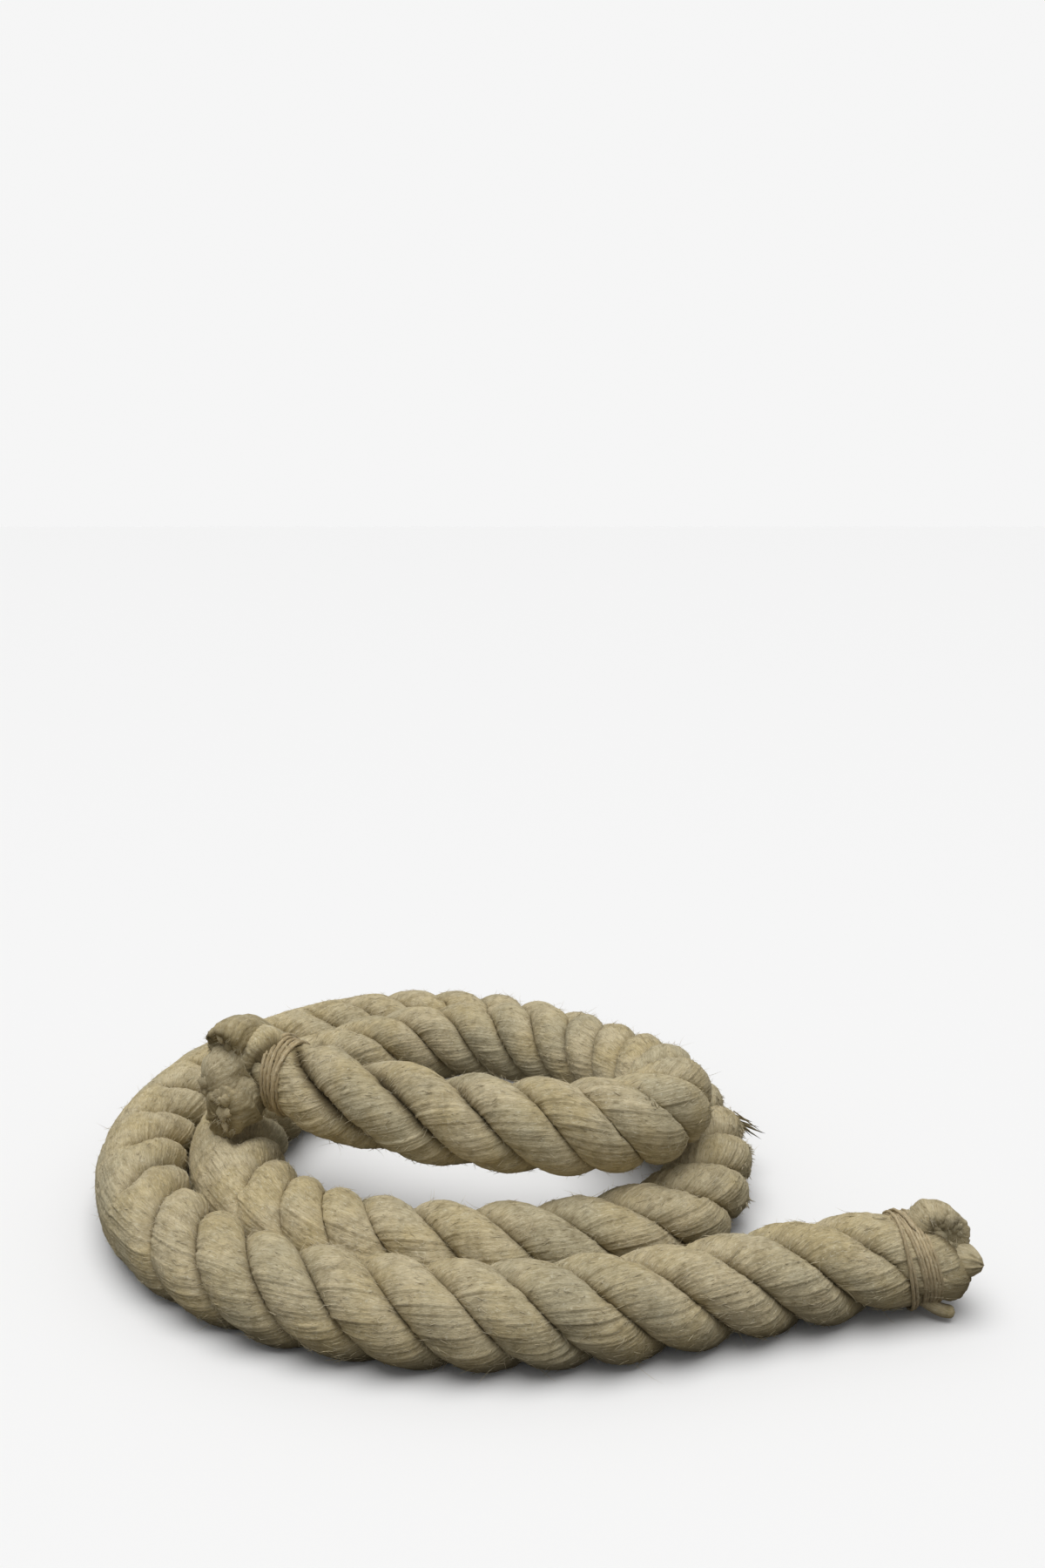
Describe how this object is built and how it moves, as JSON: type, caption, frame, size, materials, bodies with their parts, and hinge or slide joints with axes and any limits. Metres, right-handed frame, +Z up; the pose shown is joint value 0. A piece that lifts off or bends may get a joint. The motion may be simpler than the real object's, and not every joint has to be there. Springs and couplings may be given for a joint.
{
  "type": "coiled rope",
  "caption": "Thick laid natural-fibre rope lying in a loose coil, its ends whipped with twine and frayed; for tying, hauling or dressing a deck or barn.",
  "frame": {"origin": "on the surface that the rope lies on, under the middle of the whole coil's box", "axes": "+Z up, +X towards the lower loose end, -Y towards the side where the coil's outer turn runs out to that end"},
  "size_m": [0.3783, 0.312, 0.0846],
  "materials": {
    "rope_fibre": "matte hairy bast-fibre yarn, pale greenish beige with yellow stains",
    "twine": "matte thin twisted twine, a little browner than the rope"
  },
  "bodies": {
    "root": {"rope": "rope_fibre", "whipping_upper": "twine", "whipping_lower": "twine"}
  },
  "joints": []
}
